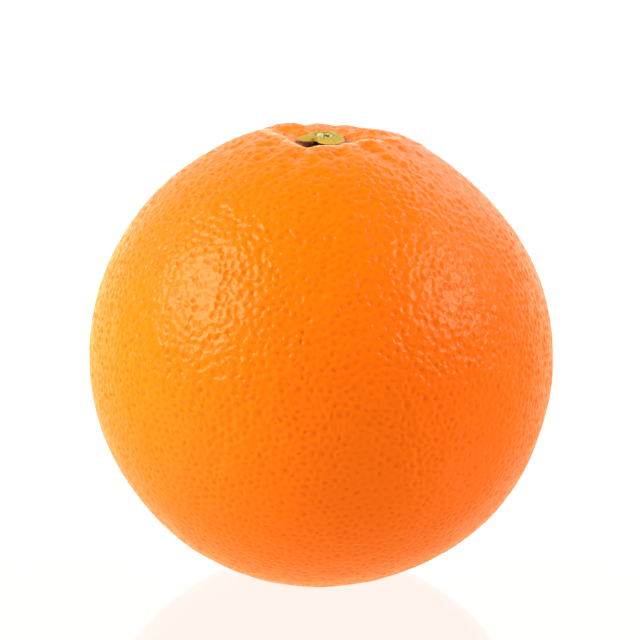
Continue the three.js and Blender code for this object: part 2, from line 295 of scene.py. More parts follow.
class Former(Graph):
    """A Geometry Nodes tree with named sizes, which is run once and kept as a plain mesh."""

    def __init__(self, name: str) -> None:
        """Start an empty tree.

        Args:
            name: The tree's name.
        """
        super().__init__(bpy.data.node_groups.new(name, "GeometryNodeTree"))
        self.tree.interface.new_socket(
            "Geometry", in_out="OUTPUT", socket_type="NodeSocketGeometry"
        )
        self.inlet = self.tree.nodes.new("NodeGroupInput")
        self.sizes: dict[str, object] = {}

    def entry(self, name: str, kind: str, value: object) -> bpy.types.NodeSocket:
        """Add a named input.

        Args:
            name: Its name.
            kind: Its socket type.
            value: What the modifier sets it to.

        Returns:
            The socket inside the tree.
        """
        socket = self.tree.interface.new_socket(name, in_out="INPUT", socket_type=kind)
        self.sizes[socket.identifier] = value
        return self.inlet.outputs[name]

    def size(self, name: str, value: float) -> Term:
        """Add a named number."""
        return Term(self, self.entry(name, "NodeSocketFloat", value))

    def place(self) -> bpy.types.NodeSocket:
        """The position of each point."""
        return self.node("GeometryNodeInputPosition").outputs[0]

    def constant(self, value: float) -> Term:
        """A fixed number as a term.

        Args:
            value: The number.

        Returns:
            The term.
        """
        made = self.node("ShaderNodeValue")
        made.outputs[0].default_value = value
        return Term(self, made.outputs[0])

    def attribute(self, name: str) -> Term:
        """A stored number of each point."""
        made = self.node("GeometryNodeInputNamedAttribute", {"data_type": "FLOAT"}, {"Name": name})
        return Term(self, made.outputs["Attribute"])

    def store(
        self,
        geometry: object,
        name: str,
        value: Number,
        domain: str = "POINT",
        where: object = True,
    ) -> bpy.types.NodeSocket:
        """Store a number on a geometry.

        Args:
            geometry: What it is stored on.
            name: The attribute's name.
            value: The number.
            domain: POINT or FACE.
            where: Which elements take it.

        Returns:
            The geometry.
        """
        values = {"Geometry": geometry, "Selection": where, "Name": name, "Value": value}
        made = self.node(
            "GeometryNodeStoreNamedAttribute", {"data_type": "FLOAT", "domain": domain}, values
        )
        return made.outputs[0]

    def moved(self, geometry: object, place: object) -> bpy.types.NodeSocket:
        """Set the position of each point."""
        values = {"Geometry": geometry, "Position": place}
        return self.node("GeometryNodeSetPosition", values=values).outputs[0]

    def joined(self, *geometries: object) -> bpy.types.NodeSocket:
        """Join geometries.

        Args:
            geometries: What is joined.

        Returns:
            The geometry that holds them all.
        """
        made = self.node("GeometryNodeJoinGeometry")
        for geometry in geometries:
            self.tree.links.new(geometry, made.inputs[0])
        return made.outputs[0]

    def finished(
        self, name: str, geometry: object, material: bpy.types.Material
    ) -> bpy.types.Object:
        """Run the tree into a plain mesh.

        Args:
            name: The piece's name.
            geometry: What the tree gives.
            material: The piece's finish.

        Returns:
            The piece, without its modifier.
        """
        finish = self.entry("Finish", "NodeSocketMaterial", material)
        smooth = self.node("GeometryNodeSetShadeSmooth", values={"Geometry": geometry}).outputs[0]
        real = self.node("GeometryNodeRealizeInstances", values={"Geometry": smooth}).outputs[0]
        values = {"Geometry": real, "Material": finish}
        dressed = self.node("GeometryNodeSetMaterial", values=values).outputs[0]
        self.node("NodeGroupOutput", values={0: dressed})
        piece = bpy.data.objects.new(name, bpy.data.meshes.new(name))
        bpy.context.collection.objects.link(piece)
        modifier = piece.modifiers.new(name, "NODES")
        modifier.node_group = self.tree
        for identifier, value in self.sizes.items():
            modifier[identifier] = value
        evaluated = piece.evaluated_get(bpy.context.evaluated_depsgraph_get())
        mesh = bpy.data.meshes.new_from_object(evaluated)
        piece.modifiers.remove(modifier)
        piece.data = mesh
        return piece


class Surface(Graph):
    """A material's node tree round one Principled shader."""

    def __init__(self, name: str, **constants: float) -> None:
        """Start a material.

        Args:
            name: Its name.
            constants: Shader sockets that are the same all over, with spaces as underscores.
        """
        self.material = bpy.data.materials.new(name)
        self.material.use_nodes = True
        super().__init__(self.material.node_tree)
        self.shader = self.tree.nodes["Principled BSDF"]
        for socket, value in constants.items():
            self.shader.inputs[socket.replace("_", " ")].default_value = value

    def place(self) -> bpy.types.NodeSocket:
        """Object coordinates, in metres."""
        return self.node("ShaderNodeTexCoord").outputs["Object"]

    def attribute(self, name: str) -> Term:
        """A stored number of the piece."""
        made = self.node("ShaderNodeAttribute", {"attribute_name": name})
        return Term(self, made.outputs["Fac"])

    def dress(self, colour: object, roughness: Number, relief: Number, depth: float) -> None:
        """Feed the shader.

        Args:
            colour: The base colour.
            roughness: The roughness.
            relief: The height of the fine relief, from 0 to 1.
            depth: What a relief of 1 is worth.
        """
        bump = self.node("ShaderNodeBump", values={"Distance": depth, "Height": relief})
        self.feed(self.shader.inputs["Base Color"], colour)
        self.feed(self.shader.inputs["Roughness"], roughness)
        self.feed(self.shader.inputs["Normal"], bump.outputs["Normal"])


# ---- Finishes -----------------------------------------------------------------------------


@dataclass(frozen=True)
class SkinPattern:
    """The numbers over the peel that its colour, roughness and relief are worked out from."""

    across: Term
    up: Term
    from_axis: Term
    upper: Term
    coarse: Term
    shoulder: Term
    blotch: Term
    grain: Term
    fold: Term
    plate: Term
    crest: Term
    cell: Term
    pit: Term
    dimple: Term
    hollow: Term


@dataclass(frozen=True)
class PeelFinish:
    """Ripe orange skin: yellower on the cheek towards the key light and redder on the other, partly
    its own tone and partly painted light and shade, and darker in its pits.
    """

    # The yellow cheek lies towards the key light. Its colour is partly the skin's own yellower tone
    # and partly painted light. The red cheek's is partly its own redder tone and partly painted
    # shade.
    lit_yellow_cheek: Colour = (0.93, 0.194, 0.001)
    shaded_red_cheek: Colour = (0.93, 0.128, 0.001)
    stem_side: Colour = (0.93, 0.170, 0.001)
    # Painted bounce light: a brighter, redder tone on the lower half stands in for warm light off
    # the table.
    skin_bounce_tint: Colour = (0.98, 0.164, 0.001)
    # The pits are darker: partly the oil glands' own tone, partly painted shade in them.
    pit_tone_and_shade: Colour = (0.78, 0.090, 0.001)
    # Painted sheen: a pale colour painted on the rim's crest, the wrinkles' crests and the plates,
    # most where they turn away, stands in for the wall's reflection.
    painted_sheen_colour: Colour = (0.96, 0.48, 0.22)
    scar_colour: Colour = (0.30, 0.12, 0.030)
    # Painted shade in the hollow round the calyx's neck.
    painted_hollow_shade: Colour = (0.20, 0.055, 0.004)
    shine_tint: Colour = (1.0, 0.90, 0.54)
    shine: float = 0.25
    cheek_width: float = 40 * MM
    cheek_span: Span = (-1.4, 1.15)
    cheek_mottle: float = 0.3
    top_span: Span = (52 * MM, 76 * MM)
    top_share: float = 0.7
    # How high the painted bounce light on the lower half reaches, and how strong it is.
    skin_bounce_height: float = 45 * MM
    skin_bounce_share: float = 0.6
    upper_span: Span = (14 * MM, 52 * MM)
    smooth_share: float = 0.08
    shoulder_span: Span = (8.8 * MM, 22 * MM)
    shoulder_rise: Span = (0.6, 0.8)
    shoulder_calm: float = 0.6
    blotch_size: float = 16 * MM
    grain_size: float = 0.5 * MM
    fold_size: float = 2.6 * MM
    dimple_span: Span = (0.4, 0.95)
    dot_span: Span = (0.44, 1.06)
    dot_least: float = 0.34
    dot_variety: float = 0.6
    crest_width: float = 0.14
    # How much painted sheen the wrinkles' crests, the rim's crest and the plates take.
    crest_sheen_paint: Span = (0.05, 0.15)
    ridge_span: Span = (0.3, 0.9)
    ridge_sheen_paint: Span = (0.1, 1.0)
    turned_span: Span = (0.45, 0.95)
    plate_sheen_paint: float = 0.18
    scar_span: Span = (1.0 * MM, 2.4 * MM)
    scar_height: Span = (2 * MM, 4 * MM)
    scar_share: float = 0.85
    # Where the painted shade in the hollow lies, and how dark it is.
    hollow_shade_span: Span = (2.15 * MM, 4.3 * MM)
    hollow_shade_share: float = 0.85
    relief_depth: float = 0.29 * MM
    relief_middle: float = 0.5
    plate_relief: float = 0.24
    fold_relief: float = 0.22
    dimple_relief: float = 0.15
    grain_relief: float = 0.05
    crest_relief: float = 0.15
    roughness: float = 0.205
    grain_roughness: float = 0.04
    dimple_roughness: float = 0.2
    hollow_roughness: float = 0.4

    def material(
        self, middle: Vector, radius: float, wrinkle_size: float, plate_size: float
    ) -> bpy.types.Material:
        """The peel's material.

        Args:
            middle: The fruit's middle.
            radius: The fruit's radius.
            wrinkle_size: The size of the wrinkles on the shoulders.
            plate_size: The size of the low plates between the dimples.

        Returns:
            The material.
        """
        surface = Surface(
            "orange_peel",
            IOR=PLANT_IOR,
            Specular_IOR_Level=self.shine,
            Specular_Tint=(*self.shine_tint, 1.0),
        )
        skin = self.pattern(surface, middle, radius, wrinkle_size, plate_size)
        roughness = (
            skin.grain * self.grain_roughness
            + skin.dimple * skin.coarse * self.dimple_roughness
            + skin.hollow * self.hollow_roughness
            + self.roughness
        )
        surface.dress(self.colour(surface, skin), roughness, self.relief(skin), self.relief_depth)
        return surface.material

    def pattern(
        self,
        surface: Surface,
        middle: Vector,
        radius: float,
        wrinkle_size: float,
        plate_size: float,
    ) -> SkinPattern:
        """What lies where on the skin.

        Args:
            surface: The material's tree.
            middle: The fruit's middle.
            radius: The fruit's radius.
            wrinkle_size: The size of the wrinkles on the shoulders.
            plate_size: The size of the low plates between the dimples.

        Returns:
            The pattern.
        """
        place = surface.place()
        across, along, up = surface.parts(place)
        from_axis = (across * across + along * along) ** 0.5
        outward = surface.vector("NORMALIZE", surface.vector("SUBTRACT", place, tuple(middle)))
        spot = surface.vector("SCALE", outward, scale=radius)
        upper = up.step(*self.upper_span)
        shoulder_foot, shoulder_top = (middle.z + radius * rise for rise in self.shoulder_rise)
        shoulder = 1.0 - from_axis.step(*self.shoulder_span)
        shoulder = shoulder * up.step(shoulder_foot, shoulder_top)
        wrinkle = surface.noise(spot, wrinkle_size, PLAIN_NOISE)
        cell = surface.attribute("cell")
        pit = surface.attribute("pit")
        return SkinPattern(
            across=across,
            up=up,
            from_axis=from_axis,
            upper=upper,
            coarse=upper * (1.0 - self.smooth_share),
            shoulder=shoulder,
            blotch=surface.noise(place, self.blotch_size, RICH_NOISE),
            grain=surface.noise(place, self.grain_size, PLAIN_NOISE),
            fold=surface.noise(place, self.fold_size, PLAIN_NOISE),
            plate=surface.noise(spot, plate_size, PLATE_NOISE).step(*PLATE_SPAN),
            crest=(wrinkle / self.crest_width).bell() * shoulder,
            cell=cell,
            pit=pit,
            dimple=pit.step(*self.dimple_span) * cell,
            # The hollow round the calyx's neck, which takes painted shade.
            hollow=(1.0 - from_axis.step(*self.hollow_shade_span)) * upper,
        )

    def colour(self, surface: Surface, skin: SkinPattern) -> bpy.types.NodeSocket:
        """The skin's colour.

        Args:
            surface: The material's tree.
            skin: What lies where on the skin.

        Returns:
            The colour, each layer over the one before.
        """
        # Yellower towards the key light and redder away from it: partly the skin's own tone, partly
        # painted light and shade.
        cheek = skin.across / self.cheek_width + skin.blotch * self.cheek_mottle
        # The lower half, which takes painted bounce light.
        low = 1.0 - skin.up.step(0.0, self.skin_bounce_height)
        depth = skin.cell * skin.cell * self.dot_variety + self.dot_least
        scarred = 1.0 - skin.from_axis.step(*self.scar_span)
        scarred = scarred * (1.0 - skin.up.step(*self.scar_height))
        layers = (
            # Redder away from the key light: partly the skin's own tone, partly painted shade.
            (cheek.step(*self.cheek_span), self.shaded_red_cheek),
            (skin.up.step(*self.top_span) * self.top_share, self.stem_side),
            (low * self.skin_bounce_share, self.skin_bounce_tint),
            # Darker in the pits: partly their own tone, partly painted shade.
            (skin.pit.step(*self.dot_span) * depth, self.pit_tone_and_shade),
            # Painted sheen on the crests, the rim and the plates.
            (self.paleness(surface, skin), self.painted_sheen_colour),
            # Painted shade in the hollow round the neck.
            (skin.hollow * self.hollow_shade_share, self.painted_hollow_shade),
            (scarred * self.scar_share, self.scar_colour),
        )
        colour = self.lit_yellow_cheek
        for share, over in layers:
            colour = surface.blend(share, colour, over)
        return colour

    def paleness(self, surface: Surface, skin: SkinPattern) -> Term:
        """The painted sheen: a pale highlight painted on the rim's crest, the wrinkles' crests and
        the plates, most where they turn away.

        Args:
            surface: The material's tree.
            skin: What lies where on the skin.

        Returns:
            The share of the painted sheen colour.
        """
        turned_away = Term(surface, surface.node("ShaderNodeLayerWeight").outputs["Facing"])
        sheen = turned_away.step(*self.turned_span)
        ridge = surface.attribute("rim").step(*self.ridge_span) * sheen.between(*self.ridge_sheen_paint)
        crest = skin.crest * sheen.between(*self.crest_sheen_paint)
        return ridge.most(crest).most(skin.plate * sheen * skin.upper * self.plate_sheen_paint)

    def relief(self, skin: SkinPattern) -> Term:
        """The height of the fine relief.

        Args:
            skin: What lies where on the skin.

        Returns:
            The height, from 0 to 1.
        """
        calmer = (skin.coarse + self.smooth_share) * (1.0 - skin.shoulder * self.shoulder_calm)
        lumps = skin.plate * self.plate_relief + skin.fold * self.fold_relief
        fine = skin.grain * self.grain_relief + skin.crest * self.crest_relief
        return (lumps - skin.dimple * self.dimple_relief) * calmer + fine + self.relief_middle


@dataclass(frozen=True)
class CalyxFinish:
    """A calyx that is going from green to straw at its edges, with painted shade on its underside
    and neck.
    """

    green: Colour = (0.40, 0.29, 0.028)
    straw: Colour = (0.55, 0.33, 0.045)
    vein_colour: Colour = (0.27, 0.21, 0.022)
    dry_brown: Colour = (0.16, 0.07, 0.015)
    # Painted shade: a near-black colour on the lobes' underside and the neck.
    underside_shade: Colour = (0.035, 0.016, 0.006)
    shine: float = 0.3
    half_width: float = 4 * MM
    mottle_size: float = 1.1 * MM
    speck_size: float = 0.45 * MM
    grain_size: float = 0.16 * MM
    grain_depth: float = 0.06 * MM
    drying_along: float = 0.8
    drying_across: float = 0.45
    drying_mottle: float = 0.5
    drying_span: Span = (0.35, 1.15)
    vein_share: float = 0.3
    speck_span: Span = (0.22, 0.7)
    speck_share: float = 0.45
    rim_mottle: float = 0.25
    rim_span: Span = (0.9, 1.12)
    rim_share: float = 0.5
    roughness: Span = (0.5, 0.6)

    def material(self) -> bpy.types.Material:
        """The calyx's material.

        Returns:
            The material.
        """
        surface = Surface("calyx_skin", IOR=PLANT_IOR, Specular_IOR_Level=self.shine)
        place = surface.place()
        across, _, _ = surface.parts(place)
        along = surface.attribute("along")
        mottle = surface.noise(place, self.mottle_size, RICH_NOISE)
        aside = across / self.half_width * self.drying_across
        drying = along * self.drying_along + aside + mottle * self.drying_mottle
        speck = surface.noise(place, self.speck_size).step(*self.speck_span)
        rim = (along + mottle * self.rim_mottle).step(*self.rim_span)
        layers = (
            (drying.step(*self.drying_span), self.straw),
            (surface.attribute("vein") * self.vein_share, self.vein_colour),
            ((rim * self.rim_share).most(speck * self.speck_share), self.dry_brown),
            # Painted shade on the underside and the neck.
            (surface.attribute("under"), self.underside_shade),
        )
        colour = self.green
        for share, over in layers:
            colour = surface.blend(share, colour, over)
        grain = surface.noise(place, self.grain_size).between(0.5, 1.0)
        surface.dress(colour, grain.between(*self.roughness), grain, self.grain_depth)
        return surface.material


@dataclass(frozen=True)
class StemFinish:
    """Snapped stem: pale fibre ends and torn pith over a dark green face."""

    pale: Colour = (0.62, 0.56, 0.27)
    dark: Colour = (0.10, 0.105, 0.018)
    shine: float = 0.3
    grain_size: float = 0.15 * MM
    grain_depth: float = 0.03 * MM
    paleness: Span = (0.6, 1.1)
    roughness: Span = (0.55, 0.65)

    def material(self) -> bpy.types.Material:
        """The stem end's material.

        Returns:
            The material.
        """
        surface = Surface("snapped_stem", IOR=PLANT_IOR, Specular_IOR_Level=self.shine)
        grain = surface.noise(surface.place(), self.grain_size, RICH_NOISE).between(0.5, 1.0)
        share = surface.attribute("fibre") * grain.between(*self.paleness).least(1.0)
        colour = surface.blend(share, self.dark, self.pale)
        surface.dress(colour, grain.between(*self.roughness), grain, self.grain_depth)
        return surface.material


# ---- The fruit ----------------------------------------------------------------------------


@dataclass(frozen=True)
class Furrow:
    """A furrow that runs out of the bowl."""

    azimuth: float
    depth: float


@dataclass(frozen=True)
class Swelling:
    """A broad rise or hollow of the skin. Angles are in degrees."""

    azimuth: float
    polar: float
    rise: float
    spread: float


def facing(azimuth: float, polar: float = 90.0) -> Vector:
    """The unit vector at an azimuth and a polar angle, in degrees."""
    turn, lean = math.radians(azimuth), math.radians(polar)
    return Vector(
        (math.sin(lean) * math.cos(turn), math.sin(lean) * math.sin(turn), math.cos(lean))
    )


@dataclass
class Peel:
    """The whole fruit's skin, a net of cells with an oil pit in each."""

    radius: float = 40 * MM
    rest_spot_radius: float = 7.5 * MM
    shoulder_rise: float = 0.65 * MM
    shoulder_arc: float = 12 * MM
    shoulder_spread_inside: float = 4.8 * MM
    shoulder_spread_outside: float = 9 * MM
    bowl_depth: float = 2.8 * MM
    bowl_spread: float = 4.5 * MM
    bowl_steepness: float = 2.6
    bowl_wide_side: float = 228.0
    bowl_wide_angle: float = 40.0
    bowl_wider_by: float = 1.6 * MM
    socket_depth: float = 1.3 * MM
    socket_radius: float = 2.5 * MM
    socket_steepness: float = 6.0
    furrow_width: float = 1.3 * MM
    furrow_arc: float = 9 * MM
    furrows: tuple[Furrow, ...] = (
        Furrow(20, 0.5 * MM),
        Furrow(56, 0.6 * MM),
        Furrow(83, 0.6 * MM),
        Furrow(108, 0.6 * MM),
        Furrow(143, 0.7 * MM),
        Furrow(205, 0.25 * MM),
        Furrow(247, 0.5 * MM),
        Furrow(284, 0.2 * MM),
        Furrow(318, 0.6 * MM),
        Furrow(350, 0.5 * MM),
    )
    swellings: tuple[Swelling, ...] = (
        Swelling(172, 38, 0.35 * MM, 20),
        Swelling(38, 27, 0.45 * MM, 8),
        Swelling(124, 18, 0.3 * MM, 5),
        Swelling(160, 11.5, -0.5 * MM, 4.2),
        Swelling(60, 17, -0.28 * MM, 7),
        Swelling(110, 17, -0.2 * MM, 3.5),
        Swelling(10, 47, -0.2 * MM, 14),
        Swelling(0, 80, 0.3 * MM, 34),
        Swelling(355, 130, 0.6 * MM, 22),
        Swelling(320, 158, -0.3 * MM, 17),
        Swelling(188, 128, -0.3 * MM, 20),
        Swelling(78, 84, 0.4 * MM, 26),
        Swelling(112, 128, -0.35 * MM, 22),
        Swelling(266, 74, 0.3 * MM, 24),
    )
    scar_radius: float = 2.2 * MM
    scar_depth: float = 0.6 * MM
    underside: float = -0.5
    lump_size: float = 6.5 * MM
    lump_height: float = 0.16 * MM
    wrinkle_size: float = 3.6 * MM
    wrinkle_height: float = 1.4 * MM
    wrinkle_share: float = 0.15
    wrinkle_fade: Span = (8.4 * MM, 24 * MM)
    wrinkle_start: Span = (4 * MM, 8 * MM)
    wrinkle_on_rim: float = 0.2
    wrinkle_roundness: float = 0.08
    plate_size: float = 1.05 * MM
    plate_height: float = 0.13 * MM
    plate_rise: Span = (-0.45, 0.4)
    rim_arc: float = 7.0 * MM
    rim_height: float = 0.4 * MM
    rim_width_inside: float = 0.8 * MM
    rim_width_outside: float = 1.6 * MM
    rim_open_side: float = 88.0
    rim_open_angle: float = 55.0
    rim_bulges: tuple[tuple[float, float], ...] = (
        (150.0, 4.2 * MM),
        (249.0, 1.3 * MM),
        (15.0, 5.7 * MM),
    )
    rim_bulge_angle: float = 26.0
    pit_spacing: float = 1.0 * MM
    pits_tried: float = 1.05
    collar_pit_spacing: float = 0.75 * MM
    collar_arc: float = 10 * MM
    pit_mouth: float = 0.72
    pit_mouth_depth: float = 0.38
    pit_depth_least: float = 0.07 * MM
    pit_depth_most: float = 0.2 * MM
    pit_share_below: float = 0.75
    pit_rise: Span = (-0.6, 0.3)
    stem_side: Span = (0.5, 0.8)
    globe_level: int = 6
    weld: float = 0.001 * MM
    seed: int = 3
    finish: PeelFinish = field(default_factory=PeelFinish)

    @property
    def middle_height(self) -> float:
        """How high the fruit's middle is above its rest spot."""
        return math.sqrt(self.radius**2 - self.rest_spot_radius**2)

    def build(self) -> bpy.types.Object:
        """Form the peel.

        Returns:
            The piece.
        """
        former = Former("peel_net")
        radius = former.size("Radius", self.radius)
        cells = self.pitted(former, self.cells(former, radius))
        toward = former.vector("NORMALIZE", former.place())
        level = former.vector("NORMALIZE", former.vector("MULTIPLY", toward, (1.0, 1.0, 0.0)))
        _, _, up = former.parts(toward)
        arc = radius * former.math("ARCCOSINE", up)
        rim = self.rim(former, level, arc)
        skin = self.skin(former, toward, level, radius, arc, rim)
        raised = former.vector("SCALE", toward, scale=skin)
        lift = (0.0, 0.0, self.middle_height)
        rimmed = former.store(cells, "rim", rim)
        standing = former.moved(rimmed, former.vector("ADD", raised, lift))
        middle = Vector((0.0, 0.0, self.middle_height))
        finish = self.finish.material(middle, self.radius, self.wrinkle_size, self.plate_size)
        return former.finished("peel", standing, finish)

    def cells(self, former: Former, radius: Term) -> bpy.types.NodeSocket:
        """A closed net of many-sided cells over the sphere, smaller round the stem end.

        Args:
            former: The tree.
            radius: The sphere's radius.

        Returns:
            The net, each cell with its own random number.
        """
        values = {0: radius, 1: self.globe_level}
        globe = former.node("GeometryNodeMeshIcoSphere", values=values).outputs[0]
        _, _, up = former.parts(former.place())
        collar = former.size("Collar arc", self.collar_arc)
        inside = former.node(
            "FunctionNodeCompare",
            {"data_type": "FLOAT", "operation": "GREATER_THAN"},
            {0: up / radius, 1: former.math("COSINE", collar / radius)},
        ).outputs[0]
        outside = former.node("FunctionNodeBooleanMath", {"operation": "NOT"}, {0: inside})
        seed = former.entry("Seed", "NodeSocketInt", self.seed)
        spread = [
            self.scattered(former, globe, where, former.size(name, spacing), spacing, seed)
            for name, spacing, where in (
                ("Pit spacing", self.pit_spacing, outside.outputs[0]),
                ("Collar pit spacing", self.collar_pit_spacing, inside),
            )
        ]
        points = former.joined(*spread)
        toward = former.vector("NORMALIZE", former.place())
        round_points = former.moved(points, former.vector("SCALE", toward, scale=radius))
        hull = former.node("GeometryNodeConvexHull", values={0: round_points}).outputs[0]
        net = former.node("GeometryNodeDualMesh", values={0: hull}).outputs[0]
        chance = former.node("FunctionNodeRandomValue", {"data_type": "FLOAT"}, {"Seed": seed})
        return former.store(net, "cell", chance.outputs[1], "FACE")

    def scattered(
        self,
        former: Former,
        globe: object,
        where: object,
        spacing: Term,
        least: float,
        seed: object,
    ) -> bpy.types.NodeSocket:
        """Scatter points that keep a distance from each other.

        Args:
            former: The tree.
            globe: The surface they lie on.
            where: The faces they may lie on.
            spacing: The least distance between two of them, as a named size.
            least: The same in metres, which says how many are tried.
            seed: The random seed.

        Returns:
            The points.
        """
        values = {
            "Mesh": globe,
            "Selection": where,
            "Distance Min": spacing,
            "Density Max": self.pits_tried / least**2,
            "Seed": seed,
        }
        made = former.node(
            "GeometryNodeDistributePointsOnFaces", {"distribute_method": "POISSON"}, values
        )
        return made.outputs[0]

    def pitted(self, former: Former, net: object) -> bpy.types.NodeSocket:
        """Give each cell the mouth and the bottom of a pit.

        Args:
            former: The tree.
            net: The net of cells.

        Returns:
            The net, with how far down its pit each point is, from 0 to 1.
        """
        mouth = former.size("Pit mouth", self.pit_mouth)
        geometry, inner = net, True
        for size, share in ((mouth, self.pit_mouth_depth), (0.0, 1.0)):
            inset = former.node(
                "GeometryNodeExtrudeMesh",
                {"mode": "FACES"},
                {"Mesh": geometry, "Selection": inner, "Offset Scale": 0.0},
            )
            inner = inset.outputs["Top"]
            shrunk = former.node(
                "GeometryNodeScaleElements",
                {"domain": "FACE", "scale_mode": "UNIFORM"},
                {"Geometry": inset.outputs["Mesh"], "Selection": inner, "Scale": size},
            )
            geometry = former.store(shrunk.outputs[0], "pit", share, where=inner)
        values = {"Geometry": geometry, "Distance": self.weld}
        return former.node("GeometryNodeMergeByDistance", values=values).outputs[0]

    def skin(
        self, former: Former, toward: object, level: object, radius: Term, arc: Term, rim: Term
    ) -> Term:
        """How far the skin is from the fruit's middle.

        Args:
            former: The tree.
            toward: The unit vector from the middle to the skin.
            level: The level unit vector away from the axis.
            radius: The fruit's radius.
            arc: How far along the skin it is from the axis.
            rim: How much of the rim's crest there is.

        Returns:
            The distance, pits and all.
        """
        across, along, up = former.parts(toward)
        from_axis = radius * (across * across + along * along) ** 0.5
        form = (
            radius
            + self.shoulders(former, arc)
            - self.bowl(former, level, arc)
            - self.furrowing(former, level, arc)
            + rim * former.size("Rim height", self.rim_height)
            - self.socket(former, from_axis)
            + self.swelling(former, toward)
            + self.lumps(former, toward, radius, arc, rim)
        )
        flat = former.size("Middle height", self.middle_height) / (-up).most(-self.underside)
        from_scar = (from_axis / self.scar_radius).least(1.0)
        scar = former.math("COSINE", from_scar * (math.pi / 2)) * self.scar_depth
        blossom_end = form.least(flat - scar)
        lower = former.math("LESS_THAN", up, self.underside)
        return form + (blossom_end - form) * lower - self.pit_depths(former, from_axis, up)

    def socket(self, former: Former, from_axis: Term) -> Term:
        """How deep the socket for the calyx's neck is.

        Args:
            former: The tree.
            from_axis: How far the skin is from the axis.

        Returns:
            The depth.
        """
        steep = (from_axis / self.socket_radius) ** self.socket_steepness
        return former.size("Socket depth", self.socket_depth) * (-steep).exp()

    def shoulders(self, former: Former, arc: Term) -> Term:
        """The ring of shoulders round the stem end.

        Args:
            former: The tree.
            arc: How far along the skin it is from the axis.

        Returns:
            How high they are.
        """
        rise = former.size("Shoulder rise", self.shoulder_rise)
        beyond = former.math("GREATER_THAN", arc, self.shoulder_arc)
        spread = beyond.between(self.shoulder_spread_inside, self.shoulder_spread_outside)
        return rise * ((arc - self.shoulder_arc) / spread).bell()

    def bowl(self, former: Former, level: object, arc: Term) -> Term:
        """The bowl that the calyx sits in, wider on one side.

        Args:
            former: The tree.
            level: The level unit vector away from the axis.
            arc: How far along the skin it is from the axis.

        Returns:
            How deep it is.
        """
        depth = former.size("Bowl depth", self.bowl_depth)
        wide = self.nearness(former, level, self.bowl_wide_side, self.bowl_wide_angle)
        spread = wide * self.bowl_wider_by + self.bowl_spread
        return depth * (-((arc / spread) ** self.bowl_steepness)).exp()

    def rim(self, former: Former, level: object, arc: Term) -> Term:
        """The crest of the bowl's rim, which runs out at both ends and is open on one side.

        Args:
            former: The tree.
            level: The level unit vector away from the axis.
            arc: How far along the skin it is from the axis.

        Returns:
            How much of the crest's height there is, from 0 to 1.
        """
        crest = former.size("Rim arc", self.rim_arc)
        for azimuth, further in self.rim_bulges:
            crest = crest + self.nearness(former, level, azimuth, self.rim_bulge_angle) * further
        beyond = former.math("GREATER_THAN", arc, crest)
        spread = beyond.between(self.rim_width_inside, self.rim_width_outside)
        closed = 1.0 - self.nearness(former, level, self.rim_open_side, self.rim_open_angle)
        return ((arc - crest) / spread).bell() * closed

    def furrowing(self, former: Former, level: object, arc: Term) -> Term:
        """The furrows out of the bowl.

        Args:
            former: The tree.
            level: The level unit vector away from the axis.
            arc: How far along the skin it is from the axis.

        Returns:
            How deep they are.
        """
        width = former.size("Furrow width", self.furrow_width)
        deepest = former.constant(0.0)
        for furrow in self.furrows:
            aside = self.turn(former, level, furrow.azimuth) * arc
            deepest = deepest.most((aside / width).bell() * furrow.depth)
        reach = (arc / self.furrow_arc) ** 2.0
        return deepest * reach * (1.0 - reach).exp()

    def swelling(self, former: Former, toward: object) -> Term:
        """The broad swellings and hollows.

        Args:
            former: The tree.
            toward: The unit vector from the middle to the skin.

        Returns:
            How far they raise the skin.
        """
        total = former.constant(0.0)
        for swell in self.swellings:
            near = former.dot(toward, facing(swell.azimuth, swell.polar)).least(1.0)
            angle = former.math("ARCCOSINE", near)
            total = total + (angle / math.radians(swell.spread)).bell() * swell.rise
        return total

    def lumps(self, former: Former, toward: object, radius: Term, arc: Term, rim: Term) -> Term:
        """Low lumps all over, plates on the upper skin, and wrinkles on the shoulders.

        Args:
            former: The tree.
            toward: The unit vector from the middle to the skin.
            radius: The fruit's radius.
            arc: How far along the skin it is from the axis.
            rim: How much of the rim's crest there is.

        Returns:
            How far they raise the skin.
        """
        spot = former.vector("SCALE", toward, scale=radius)
        lump = former.noise(spot, self.lump_size, PLAIN_NOISE)
        lump = lump * former.size("Lump", self.lump_height)
        fold = former.noise(spot, self.wrinkle_size, PLAIN_NOISE)
        crest = self.wrinkle_share - (fold * fold + self.wrinkle_roundness**2) ** 0.5
        wrinkle = crest * former.size("Wrinkle", self.wrinkle_height)
        near = (1.0 - arc.step(*self.wrinkle_fade)) * arc.step(*self.wrinkle_start)
        _, _, up = former.parts(toward)
        calm = arc.step(self.socket_radius, self.socket_radius * 2)
        plate = former.noise(spot, self.plate_size, PLATE_NOISE).step(*PLATE_SPAN) - 0.5
        plate = plate * former.size("Plate", self.plate_height) * up.step(*self.plate_rise)
        return (lump + plate) * calm + wrinkle * near * rim.between(1.0, self.wrinkle_on_rim)

    def pit_depths(self, former: Former, from_axis: Term, up: Term) -> Term:
        """How deep the skin is in its pits, which fade out under the calyx.

        Args:
            former: The tree.
            from_axis: How far the skin is from the axis.
            up: How far up the fruit it is, from -1 to 1.

        Returns:
            The depth.
        """
        least = former.size("Pit depth least", self.pit_depth_least)
        most = former.size("Pit depth most", self.pit_depth_most)
        depth = least + (most - least) * former.attribute("cell")
        elsewhere = 1.0 - up.step(*self.stem_side)
        clear = from_axis.step(self.socket_radius, self.socket_radius * 2).most(elsewhere)
        shallower = up.step(*self.pit_rise).between(self.pit_share_below, 1.0)
        return depth * former.attribute("pit") * clear * shallower

    def nearness(self, former: Former, level: object, azimuth: float, width: float) -> Term:
        """A bell curve round an azimuth. Both angles are in degrees."""
        return (self.turn(former, level, azimuth) / math.radians(width)).bell()

